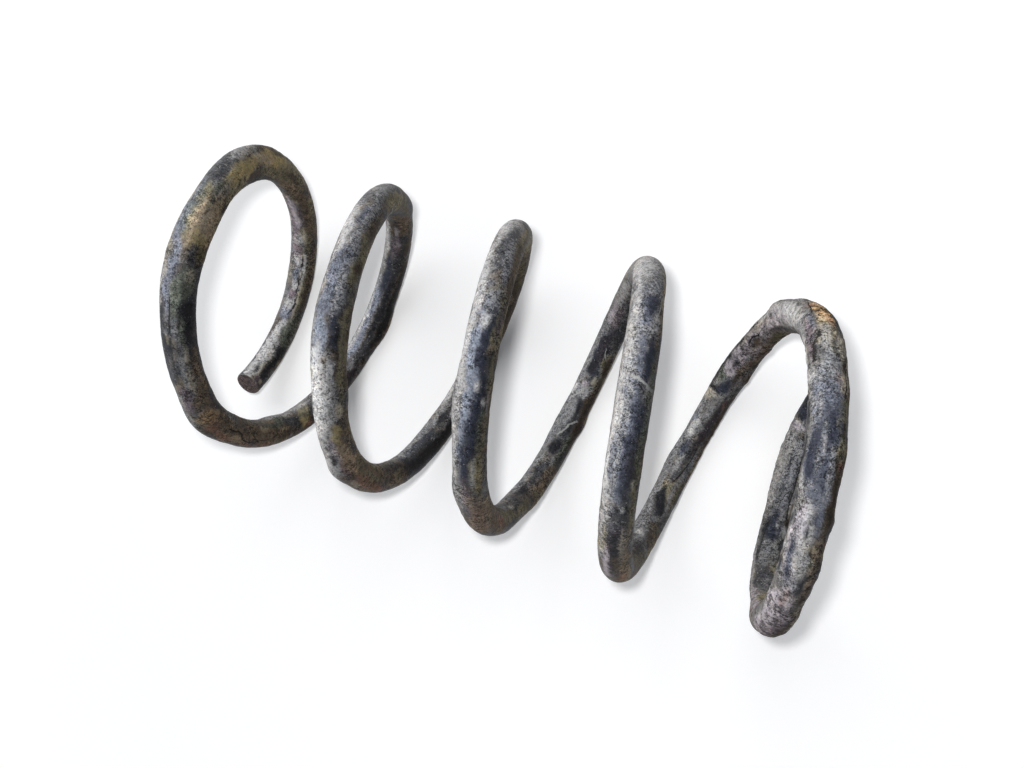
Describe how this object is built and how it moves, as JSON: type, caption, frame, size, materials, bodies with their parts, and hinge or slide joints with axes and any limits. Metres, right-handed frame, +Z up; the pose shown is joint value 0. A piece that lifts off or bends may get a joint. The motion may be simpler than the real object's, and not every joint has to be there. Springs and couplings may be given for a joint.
{
  "type": "coil spring",
  "caption": "Used helical compression spring of a vehicle suspension: round bar wound right-handed, wide open coils, a flat seat at each end and sheared tips, under flaking paint and dirt.",
  "frame": {"origin": "centre of the object's box at its bottom: on the bench, under the middle of the coil's axis", "axes": "+X along the coil's axis towards the end with the wider gap, +Z up from the bench the spring lies on, +Y completes the right-handed set"},
  "size_m": [0.2868, 0.1328, 0.1328],
  "materials": {
    "old_paint": "dull, chipped and dusty, with flaking dirt and some rust"
  },
  "bodies": {
    "root": {"coil_spring": "old_paint"}
  },
  "joints": []
}
